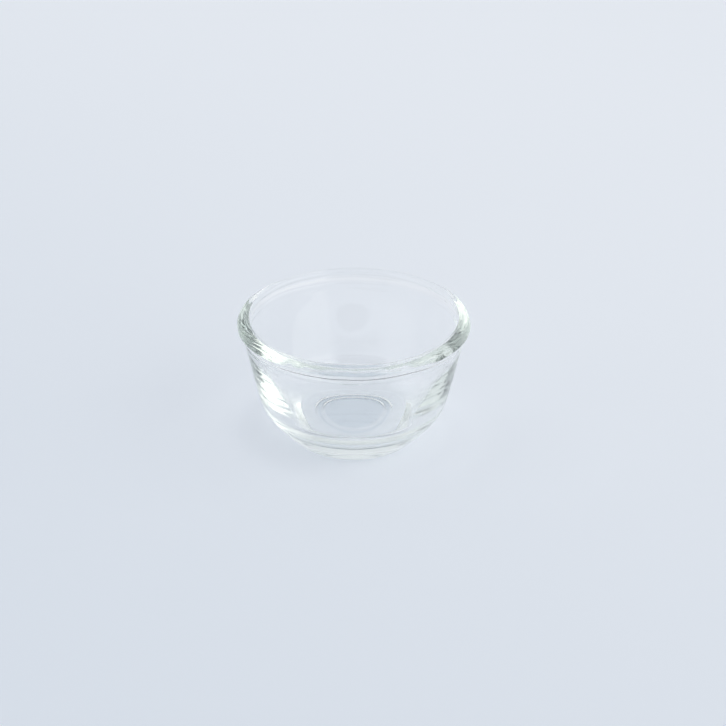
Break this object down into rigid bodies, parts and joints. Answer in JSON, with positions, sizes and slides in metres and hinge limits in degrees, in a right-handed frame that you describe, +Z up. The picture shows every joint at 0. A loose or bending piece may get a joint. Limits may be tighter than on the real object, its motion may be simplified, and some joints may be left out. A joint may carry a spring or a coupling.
{
  "type": "glass bowl",
  "caption": "Small deep bowl of clear pressed glass with a thick rolled collar, a thick base and a flat resting ring, that can serve as a lab dish.",
  "frame": {"origin": "on the bowl's axis, at the level of the resting ring it stands on", "axes": "+Z up along the bowl's axis, from the base to the mouth; X and Y lie in the resting plane, and any pair will do because the bowl is round"},
  "size_m": [0.07, 0.07, 0.0395],
  "materials": {
    "clear_glass": "fire-polished"
  },
  "bodies": {
    "root": {"glass_bowl": "clear_glass"}
  },
  "joints": []
}
